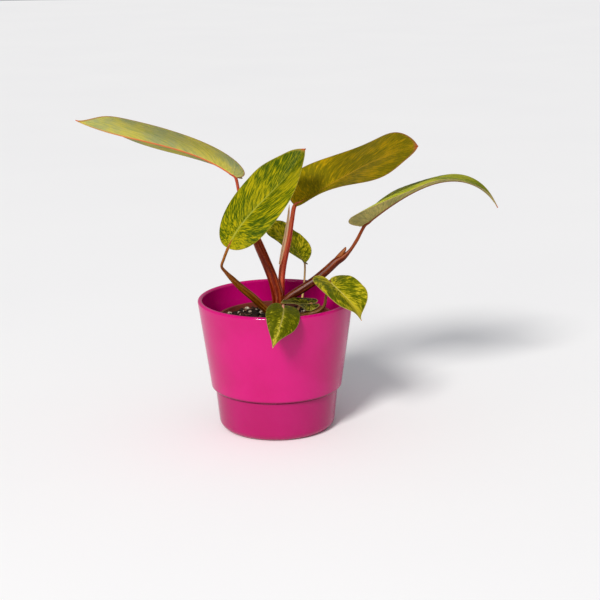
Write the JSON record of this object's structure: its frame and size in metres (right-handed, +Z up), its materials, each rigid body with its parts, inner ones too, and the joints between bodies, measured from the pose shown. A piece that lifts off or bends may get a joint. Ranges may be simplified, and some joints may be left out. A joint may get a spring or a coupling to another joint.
{
  "type": "potted painted lady philodendron",
  "caption": "Young philodendron with long yellow-streaked leaves on red petioles, in a plastic nursery pot inside a tapered magenta glazed cover pot.",
  "frame": {"origin": "middle of the cover pot's flat underside, on the surface it stands on", "axes": "+Z up along the pot's axis, +X to the right as seen from the front, along the plant's longest spread, and the front towards -Y"},
  "size_m": [0.3715, 0.1642, 0.2772],
  "materials": {
    "glaze": "glossy magenta glaze",
    "nursery_plastic": "thin brown-red plastic",
    "potting_mix": "dark crumbly mix with perlite and bark",
    "crown": "brown stem and roots",
    "petiole_brown": "smooth red-brown plant stalk",
    "petiole_pink": "smooth pink-red plant stalk",
    "petiole_olive": "smooth olive-brown plant stalk",
    "petiole_cream": "smooth cream plant stalk",
    "blade_pale": "satin leaf, grey-green below",
    "blade_ochre": "satin leaf, ochre with green flecks",
    "blade_yellow": "satin leaf, green with yellow streaks",
    "blade_green": "satin leaf, dark green with cream flecks"
  },
  "bodies": {
    "root": {"cover_pot": "glaze", "nursery_pot": "nursery_plastic", "potting_mix": "potting_mix", "crown_and_roots": "crown", "left_leaf_petiole": "petiole_brown", "upper_leaf_petiole": "petiole_pink", "right_leaf_petiole": "petiole_brown", "front_leaf_petiole": "petiole_olive", "back_small_leaf_petiole": "petiole_cream", "inner_small_leaf_petiole": "petiole_brown", "rim_small_leaf_petiole": "petiole_pink", "right_small_leaf_petiole": "petiole_olive", "new_leaf_sheath": "petiole_pink", "left_leaf_blade": "blade_pale", "upper_leaf_blade": "blade_ochre", "right_leaf_blade": "blade_pale", "front_leaf_blade": "blade_yellow", "back_small_leaf_blade": "blade_green", "inner_small_leaf_blade": "blade_green", "rim_small_leaf_blade": "blade_green", "right_small_leaf_blade": "blade_yellow"}
  },
  "joints": []
}
